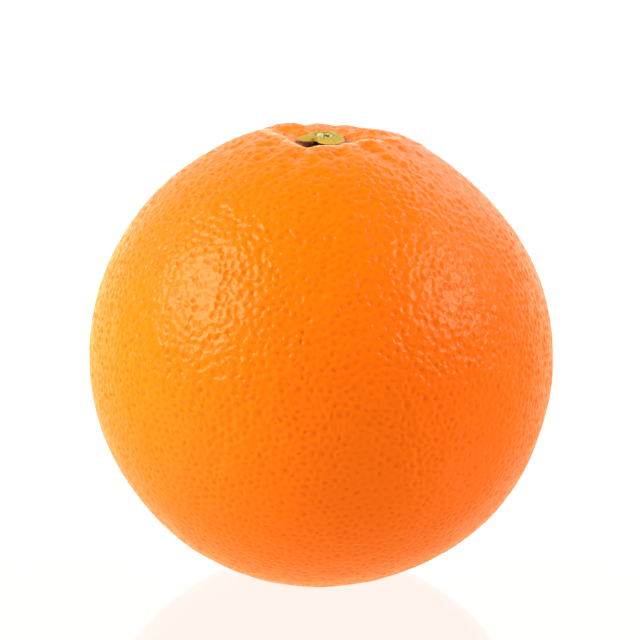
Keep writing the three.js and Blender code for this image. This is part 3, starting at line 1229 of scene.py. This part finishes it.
    @staticmethod
    def turn(former: Former, level: object, azimuth: float) -> Term:
        """The turn between a level direction and an azimuth, in radians."""
        near = former.dot(level, facing(azimuth)).least(1.0).most(-1.0)
        return former.math("ARCCOSINE", near)


# ---- The calyx ----------------------------------------------------------------------------


@dataclass(frozen=True)
class Lobe:
    """One lobe of the calyx. Angles are in degrees."""

    azimuth: float
    reach: float
    half_width: float


class Rings:
    """Rings of points round the axis, each with how far out and how far under it lies."""

    def __init__(self, columns: int) -> None:
        """Start with no ring.

        Args:
            columns: How many points a ring has.
        """
        self.turn = np.arange(columns) / columns * math.tau
        self.places: list[np.ndarray] = []
        self.along: list[float] = []
        self.under: list[float] = []

    def add(
        self, radius: np.ndarray | float, height: np.ndarray | float, along: float, under: float
    ) -> None:
        """Add one ring.

        Args:
            radius: How far its points are from the axis.
            height: How high they are above the fruit's middle.
            along: How far out along a lobe it lies, from 0 to 1.
            under: 1 on the underside, where shade is painted, and 0 above.
        """
        across, back = radius * np.cos(self.turn), radius * np.sin(self.turn)
        level = np.broadcast_to(height, self.turn.shape)
        self.places.append(np.stack((across, back, level), axis=1))
        self.along.append(along)
        self.under.append(under)

    def points(self, floor: float, tip: float, lift: float) -> np.ndarray:
        """All the points, from the middle of the cup to the tip of the neck.

        Args:
            floor: The height of the first point, on the axis.
            tip: The height of the last point, on the axis.
            lift: What is added to every height.

        Returns:
            The places, a row each.
        """
        first, last = np.array([[0.0, 0.0, floor]]), np.array([[0.0, 0.0, tip]])
        return np.concatenate((first, *self.places, last)) + (0.0, 0.0, lift)

    def faces(self) -> list[tuple[int, ...]]:
        """The faces between the rings, with a fan at each end.

        Returns:
            The faces, which point outwards.
        """
        count = len(self.turn)
        faces = [(0, 1 + i, 1 + (i + 1) % count) for i in range(count)]
        for ring in range(len(self.places) - 1):
            start = 1 + ring * count
            for i in range(count):
                after = (i + 1) % count
                faces.append((start + i, start + count + i, start + count + after, start + after))
        last = 1 + (len(self.places) - 1) * count
        tip = last + count
        faces.extend((last + i, tip, last + (i + 1) % count) for i in range(count))
        return faces


@dataclass
class Calyx:
    """The calyx: five thin lobes round a collar, over a neck that goes into the bowl.

    Heights are above the fruit's middle. A profile's points are steps out and up from where the
    collar or the neck begins.
    """

    middle_height: float
    lobes: tuple[Lobe, ...] = (
        Lobe(190, 4.9 * MM, 34),
        Lobe(295, 4.3 * MM, 47),
        Lobe(346, 3.5 * MM, 34),
        Lobe(50, 4.1 * MM, 36),
        Lobe(122, 4.3 * MM, 38),
    )
    waist: float = 2.95 * MM
    lobe_rise: float = 1.5
    notch_azimuth: float = 235.0
    notch_angle: float = 13.0
    notch_depth: float = 0.6 * MM
    ruffle: float = 0.08 * MM
    ruffles: tuple[tuple[int, float, float], ...] = ((13, 1, 0.4), (24, 4, 0.35), (41, 0, 0.25))
    cup_floor: float = 38.7 * MM
    cup_radius: float = 1.9 * MM
    cup_rings: Span = (0.5, 0.96)
    collar_top: float = 39.75 * MM
    collar_radius: float = 2.2 * MM
    collar_profile: tuple[Span, ...] = (
        (0.0, -0.2 * MM),
        (0.08 * MM, -0.03 * MM),
        (0.2 * MM, 0.0),
    )
    collar_fall: float = 0.04 * MM
    root_thickness: float = 0.75 * MM
    edge_thickness: float = 0.12 * MM
    edge_round: float = 0.03 * MM
    thinning: float = 0.7
    droop: float = 1.6
    vein_height: float = 0.016 * MM
    vein_reach: float = 1.15
    veins: tuple[tuple[int, float], ...] = ((11, 2.0), (27, 0.5), (46, 3.0), (71, 1.2))
    underside: float = 39.0 * MM
    sag: float = 0.14 * MM
    gap: float = 0.12 * MM
    smoothing: int = 9
    neck_radius: float = 1.9 * MM
    neck_floor: float = 36.45 * MM
    neck_profile: tuple[Span, ...] = ((0.1 * MM, -0.35 * MM), (0.0, -0.7 * MM))
    neck_round: float = 0.2 * MM
    neck_tip: float = 0.9
    columns: int = 288
    blade_rows: int = 26
    finish: CalyxFinish = field(default_factory=CalyxFinish)

    def outline(self, turn: np.ndarray) -> np.ndarray:
        """How far the edge is from the axis.

        Args:
            turn: Azimuths in radians.

        Returns:
            The edge's radius at each.
        """
        edge = np.full_like(turn, self.waist)
        for lobe in self.lobes:
            aside = self.aside(turn, lobe.azimuth) / math.radians(lobe.half_width)
            edge += (lobe.reach - self.waist) * np.maximum(1 - aside**self.lobe_rise, 0)
        notch = self.aside(turn, self.notch_azimuth) / math.radians(self.notch_angle)
        edge -= self.notch_depth * np.exp(-(notch**2))
        for count, start, share in self.ruffles:
            edge += self.ruffle * share * np.sin(count * turn + start)
        return edge

    @staticmethod
    def aside(turn: np.ndarray, azimuth: float) -> np.ndarray:
        """The turn between azimuths in radians and one in degrees, without its sign."""
        return np.abs((turn - math.radians(azimuth) + math.pi) % math.tau - math.pi)

    def veining(self, turn: np.ndarray) -> np.ndarray:
        """How strong the veins are at each azimuth, from about -1 to 1."""
        waves = [np.sin(count * turn + start) for count, start in self.veins]
        return np.sum(waves, axis=0) / math.sqrt(len(waves))

    def edge_height(self, turn: np.ndarray, edge: np.ndarray, peel: BVHTree) -> np.ndarray:
        """How high the underside of the edge hangs, just clear of the peel.

        Args:
            turn: Azimuths in radians.
            edge: The edge's radius at each.
            peel: The finished peel.

        Returns:
            The heights above the fruit's middle.
        """
        skin = np.empty_like(turn)
        for index, (azimuth, reach) in enumerate(zip(turn, edge)):
            above = Vector((reach * math.cos(azimuth), reach * math.sin(azimuth), RAY_HEIGHT))
            hit = peel.ray_cast(above, Vector((0, 0, -1)))[0]
            skin[index] = hit.z - self.middle_height
        width = 2 * self.smoothing + 1
        padded = np.concatenate((skin[-self.smoothing :], skin, skin[: self.smoothing]))
        smooth = np.convolve(padded, np.ones(width) / width, "valid")
        return np.maximum(np.maximum(smooth, skin) + self.gap, self.underside - self.sag)

    def rings(self, peel: BVHTree) -> Rings:
        """The rings from the middle of the cup, over the lobes and down the neck.

        Args:
            peel: The finished peel.

        Returns:
            The rings.
        """
        rings = Rings(self.columns)
        edge = self.outline(rings.turn)
        low = self.edge_height(rings.turn, edge, peel)
        wave = self.veining(rings.turn)
        top = self.collar_top - self.collar_fall
        fall = top - low - self.edge_thickness
        reach = edge - self.collar_radius
        for share in self.cup_rings:
            rings.add(self.cup_radius * share, self.cup_floor, 0, 0)
        for out, up in self.collar_profile:
            rings.add(self.cup_radius + out, self.collar_top + up, 0, 0)
        for row in range(self.blade_rows + 1):
            share = row / self.blade_rows
            fade = math.sin(math.pi * min(1, share * self.vein_reach)) ** 2
            height = top - fall * share**self.droop + self.vein_height * wave * fade
            rings.add(self.collar_radius + reach * share, height, share, 0)
        rings.add(edge + self.edge_round, low + self.edge_thickness * 0.5, 1, 0)
        under_rows = self.blade_rows // 2
        for row in range(under_rows, -1, -1):
            share = row / under_rows
            thicker = (self.root_thickness - self.edge_thickness) * (1 - share**self.thinning)
            height = top - fall * share**self.droop - self.edge_thickness - thicker
            rings.add(self.collar_radius + reach * share, height, share, 1)
        for out, up in self.neck_profile:
            rings.add(self.neck_radius + out, self.underside + up, 0, 1)
        rings.add(self.neck_radius, self.neck_floor + self.neck_round, 0, 1)
        rings.add(self.neck_radius * self.neck_tip, self.neck_floor, 0, 1)
        return rings

    def build(self, peel: bpy.types.Object) -> bpy.types.Object:
        """Form the calyx over the peel.

        Args:
            peel: The finished peel.

        Returns:
            The piece.
        """
        points = [vertex.co for vertex in peel.data.vertices]
        faces = [face.vertices for face in peel.data.polygons]
        rings = self.rings(BVHTree.FromPolygons(points, faces))
        places = rings.points(self.cup_floor, self.neck_floor, self.middle_height)
        mesh = bpy.data.meshes.new("calyx_skin")
        mesh.from_pydata(places.tolist(), [], rings.faces())
        wave = np.clip(self.veining(rings.turn), 0, 1)
        values = {
            "along": np.repeat(rings.along, self.columns),
            # 1 where the painted shade on the underside and the neck goes.
            "under": np.repeat(rings.under, self.columns),
            "vein": np.outer(np.sin(math.pi * np.array(rings.along)), wave).ravel(),
        }
        for name, numbers in values.items():
            layer = mesh.attributes.new(name, "FLOAT", "POINT")
            closed = np.concatenate(([0.0], numbers, [1.0]))
            layer.data.foreach_set("value", closed.astype(np.float32))
        mesh.shade_smooth()
        mesh.materials.append(self.finish.material())
        piece = bpy.data.objects.new("calyx_lobes", mesh)
        bpy.context.collection.objects.link(piece)
        return piece


# ---- The stem end -------------------------------------------------------------------------


@dataclass
class StemEnd:
    """The snapped stem in the calyx: a sunk face, a ring of fibre ends and a lump of torn pith."""

    middle_height: float
    radius: float = 1.6 * MM
    floor: float = 39.0 * MM
    face_height: float = 0.3 * MM
    face_tear: float = 0.05 * MM
    fibres: int = 17
    fibre_ring_radius: float = 1.27 * MM
    fibre_radius: float = 0.2 * MM
    fibre_height: float = 0.62 * MM
    fibre_least: Place = (0.6, 0.6, 0.6)
    fibre_most: Place = (1.25, 1.25, 1.3)
    fibre_tear: float = 0.04 * MM
    fibre_level: int = 3
    pith_azimuth: float = 200.0
    pith_offset: float = 0.85 * MM
    pith_radius: float = 0.6 * MM
    pith_height: float = 0.52 * MM
    pith_tear: float = 0.1 * MM
    lump_level: int = 5
    slant: float = 0.12 * MM
    tear_size: float = 0.45 * MM
    seed: int = 11
    finish: StemFinish = field(default_factory=StemFinish)

    def build(self) -> bpy.types.Object:
        """Form the stem end.

        Returns:
            The piece.
        """
        former = Former("stem_break")
        shape = former.joined(self.face(former), self.fibre_ring(former), self.pith(former))
        place = former.place()
        _, along, _ = former.parts(place)
        rise = along / self.radius * former.size("Slant", self.slant)
        rise = rise + (self.middle_height + self.floor)
        lift = former.node("ShaderNodeCombineXYZ", values={2: rise}).outputs[0]
        standing = former.moved(shape, former.vector("ADD", place, lift))
        return former.finished("snapped_stem", standing, self.finish.material())

    def torn(self, former: Former, geometry: object, tear: float) -> bpy.types.NodeSocket:
        """Roughen a lump as torn wood is.

        Args:
            former: The tree.
            geometry: The lump.
            tear: How far it is moved.

        Returns:
            The torn lump.
        """
        place = former.place()
        rough = former.noise(place, self.tear_size) * tear
        outward = former.node("GeometryNodeInputNormal").outputs[0]
        push = former.vector("SCALE", outward, scale=rough)
        return former.moved(geometry, former.vector("ADD", place, push))

    def lump(
        self, former: Former, radius: float, height: float, level: int
    ) -> bpy.types.NodeSocket:
        """A ball drawn out to a height, standing on 0.

        Args:
            former: The tree.
            radius: Its radius.
            height: Its whole height.
            level: How finely it is divided.

        Returns:
            The lump.
        """
        ball = former.node("GeometryNodeMeshIcoSphere", values={0: radius, 1: level}).outputs[0]
        values = {
            "Geometry": ball,
            "Translation": (0.0, 0.0, height / 2),
            "Scale": (1.0, 1.0, height / 2 / radius),
        }
        return former.node("GeometryNodeTransform", values=values).outputs[0]

    def face(self, former: Former) -> bpy.types.NodeSocket:
        """The sunk face of the break."""
        disc = self.lump(former, self.radius, self.face_height, self.lump_level)
        return former.store(self.torn(former, disc, self.face_tear), "fibre", 0.0)

    def fibre_ring(self, former: Former) -> bpy.types.NodeSocket:
        """The ring of fibre ends.

        Args:
            former: The tree.

        Returns:
            The beads, each of its own size.
        """
        radius = former.size("Fibre ring radius", self.fibre_ring_radius)
        count = former.entry("Fibres", "NodeSocketInt", self.fibres)
        seed = former.entry("Seed", "NodeSocketInt", self.seed)
        ring = former.node("GeometryNodeMeshCircle", values={"Vertices": count, "Radius": radius})
        size = former.node(
            "FunctionNodeRandomValue",
            {"data_type": "FLOAT_VECTOR"},
            {0: self.fibre_least, 1: self.fibre_most, "Seed": seed},
        )
        values = {
            "Points": ring.outputs[0],
            "Instance": self.lump(former, self.fibre_radius, self.fibre_height, self.fibre_level),
            "Scale": size.outputs[0],
        }
        beads = former.node("GeometryNodeInstanceOnPoints", values=values).outputs[0]
        real = former.node("GeometryNodeRealizeInstances", values={0: beads}).outputs[0]
        return former.store(self.torn(former, real, self.fibre_tear), "fibre", 1.0)

    def pith(self, former: Former) -> bpy.types.NodeSocket:
        """The lump of torn pith.

        Args:
            former: The tree.

        Returns:
            The lump, half of it under the face.
        """
        lump = self.lump(former, self.pith_radius, self.pith_height * 2, self.lump_level)
        at = facing(self.pith_azimuth) * self.pith_offset
        values = {"Geometry": self.torn(former, lump, self.pith_tear), "Translation": tuple(at)}
        placed = former.node("GeometryNodeTransform", values=values).outputs[0]
        return former.store(placed, "fibre", 1.0)


# ---- The studio ---------------------------------------------------------------------------


@dataclass(frozen=True)
class Softbox:
    """A soft light that faces the fruit."""

    name: str
    toward: Place
    distance: float
    width: float
    height: float
    power: float
    roll: float = 0.0

    def build(self, target: Vector) -> None:
        """Hang the light.

        Args:
            target: The point it faces.
        """
        data = bpy.data.lights.new(self.name, "AREA")
        data.shape = "RECTANGLE"
        data.size = self.width
        data.size_y = self.height
        data.energy = self.power
        lamp = bpy.data.objects.new(self.name, data)
        outward = Vector(self.toward).normalized()
        lamp.location = target + outward * self.distance
        turned = Matrix.Rotation(math.radians(self.roll), 4, outward)
        facing_out = outward.to_track_quat("Z", "Y").to_matrix().to_4x4()
        lamp.rotation_euler = (turned @ facing_out).to_euler()
        lamp.visible_camera = False
        bpy.context.collection.objects.link(lamp)


@dataclass
class Studio:
    """A pale table, three softboxes, a white wall behind and the camera.

    The light that bounces off the table is dimmer on one side of the fruit. The wall is dimmed
    where the skin mirrors it on the left.
    """

    target: Vector
    picture: int = 640
    camera_elevation: float = 17.0
    camera_distance: float = 0.6
    camera_roll: float = 1.2
    pixels_per_metre: float = 5760.0
    fruit_pixel: tuple[float, float] = (321.0, 356.6)
    sensor: float = 36.0
    table_radius: float = 2.5
    table_sides: int = 96
    table_drop: float = 0.01 * MM
    table_glow: float = 0.81
    table_tint: Colour = (1.0, 1.0, 0.97)
    table_paint: Colour = (0.05, 0.05, 0.05)
    table_roughness: float = 0.07
    table_ior: float = 1.45
    contact_glow: float = 0.06
    contact_radius: float = 20 * MM
    bounce_glow: float = 1.13
    bounce_tint: Colour = (1.0, 0.86, 0.40)
    bounce_dim: float = 0.70
    bounce_span: Span = (-0.01, 0.06)
    wall_white: Colour = (1.0, 1.0, 1.0)
    front_light: float = 0.335
    front_sheen: float = 0.15
    back_light: float = 1.15
    lit_span: Span = (-0.15, 0.45)
    sheen_span: Span = (0.1, 0.95)
    left_share: float = 0.60
    left_span: Span = (-0.8, 0.2)
    top_light: float = 0.04
    top_span: Span = (0.6, 0.95)
    softboxes: tuple[Softbox, ...] = (
        Softbox("key_softbox", (-0.811, -0.257, 0.525), 0.5, 0.28, 0.36, 3.85, 40.0),
        Softbox("fill_softbox", (0.845, -0.150, 0.513), 0.5, 0.21, 0.31, 2.12, -25.0),
        Softbox("rim_softbox", (0.52, 0.60, 0.61), 0.6, 0.30, 0.30, 0.55),
    )

    def build(self) -> None:
        """Set up the studio."""
        self.table()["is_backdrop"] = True
        for softbox in self.softboxes:
            softbox.build(self.target)
        self.surroundings()
        self.camera()
        bpy.context.scene.view_settings.view_transform = "Standard"

    def table(self) -> bpy.types.Object:
        """The table, a pale disc with a soft shine.

        Returns:
            The table.
        """
        corners = range(self.table_sides)
        rim = [facing(360 * i / self.table_sides) * self.table_radius for i in corners]
        mesh = bpy.data.meshes.new("table")
        mesh.from_pydata([tuple(point) for point in rim], [], [tuple(corners)])
        mesh.transform(Matrix.Translation((0, 0, -self.table_drop)))
        mesh.materials.append(self.table_finish())
        table = bpy.data.objects.new("table", mesh)
        bpy.context.collection.objects.link(table)
        return table

    def table_finish(self) -> bpy.types.Material:
        """The table's material, which glows a little brighter round the fruit.

        Returns:
            The material.
        """
        surface = Surface(
            "pale_table", IOR=self.table_ior, Emission_Strength=1.0, Roughness=self.table_roughness
        )
        surface.feed(surface.shader.inputs["Base Color"], self.table_paint)
        across, along, _ = surface.parts(surface.place())
        from_fruit = (across * across + along * along) ** 0.5
        glow = (from_fruit / self.contact_radius).bell() * self.contact_glow + self.table_glow
        seen = surface.vector("SCALE", self.table_tint, scale=glow)
        bounce = across.step(*self.bounce_span).between(1.0, self.bounce_dim) * self.bounce_glow
        bounced = surface.vector("SCALE", self.bounce_tint, scale=bounce)
        camera_ray = surface.node("ShaderNodeLightPath").outputs["Is Camera Ray"]
        emission = surface.blend(camera_ray, bounced, seen)
        surface.feed(surface.shader.inputs["Emission Color"], emission)
        return surface.material

    def surroundings(self) -> None:
        """A white wall behind the fruit, and dimmer light from the front and overhead."""
        world = bpy.data.worlds.new("studio")
        world.use_nodes = True
        bpy.context.scene.world = world
        graph = Graph(world.node_tree)
        toward = graph.node("ShaderNodeTexCoord").outputs["Generated"]
        across, back, up = graph.parts(toward)
        path = graph.node("ShaderNodeLightPath")
        mirrored = Term(graph, path.outputs["Is Glossy Ray"])
        seen = Term(graph, path.outputs["Is Camera Ray"])
        lit = back.step(*self.lit_span).between(self.front_light, self.back_light)
        sheen = back.step(*self.sheen_span).between(self.front_sheen, self.back_light)
        shaded = across.step(*self.left_span).between(self.left_share, 1.0)
        level = lit + (sheen * shaded - lit) * mirrored
        glow = level + (self.top_light - level) * up.step(*self.top_span)
        background = world.node_tree.nodes["Background"]
        graph.feed(background.inputs["Color"], self.wall_white)
        graph.feed(background.inputs["Strength"], glow + (1.0 - glow) * seen)

    def camera(self) -> None:
        """The camera, level with a low stool and a long way off."""
        lean = math.radians(self.camera_elevation)
        back = Vector((0, -math.cos(lean), math.sin(lean)))
        right = Vector((1, 0, 0))
        upward = back.cross(right)
        centre = self.picture / 2
        aside = (centre - self.fruit_pixel[0]) / self.pixels_per_metre
        over = (self.fruit_pixel[1] - centre) / self.pixels_per_metre
        place = self.target + right * aside + upward * over + back * self.camera_distance
        pose = Matrix((right, upward, back)).transposed().to_4x4()
        pose.translation = place
        data = bpy.data.cameras.new("camera")
        data.sensor_width = self.sensor
        data.lens = self.sensor * self.camera_distance * self.pixels_per_metre / self.picture
        camera = bpy.data.objects.new("camera", data)
        camera.matrix_world = pose @ Matrix.Rotation(math.radians(self.camera_roll), 4, "Z")
        bpy.context.collection.objects.link(camera)
        bpy.context.scene.camera = camera


# ---- Putting it together ------------------------------------------------------------------


def take_place(piece: bpy.types.Object, solid: Solid) -> None:
    """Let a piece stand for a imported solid.

    Args:
        piece: The finished piece.
        solid: The solid it replaces.
    """
    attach(piece, BODY)
    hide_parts(solid.value)
    triangles = sum(len(face.vertices) - 2 for face in piece.data.polygons)
    log.info("%s replaces %s: %d triangles", piece.name, solid.value, triangles)


def main(packed_box: tuple) -> None:
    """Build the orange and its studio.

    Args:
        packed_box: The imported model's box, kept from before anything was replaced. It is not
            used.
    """
    logging.basicConfig(level=logging.INFO, format="%(name)s: %(message)s")
    peel = Peel()
    peel_piece = peel.build()
    take_place(peel_piece, Solid.FRUIT)
    take_place(Calyx(peel.middle_height).build(peel_piece), Solid.CALYX)
    take_place(StemEnd(peel.middle_height).build(), Solid.STEM_END)
    Studio(Vector((0, 0, LOOK_HEIGHT))).build()


if __name__ == "__main__":
    main(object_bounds())
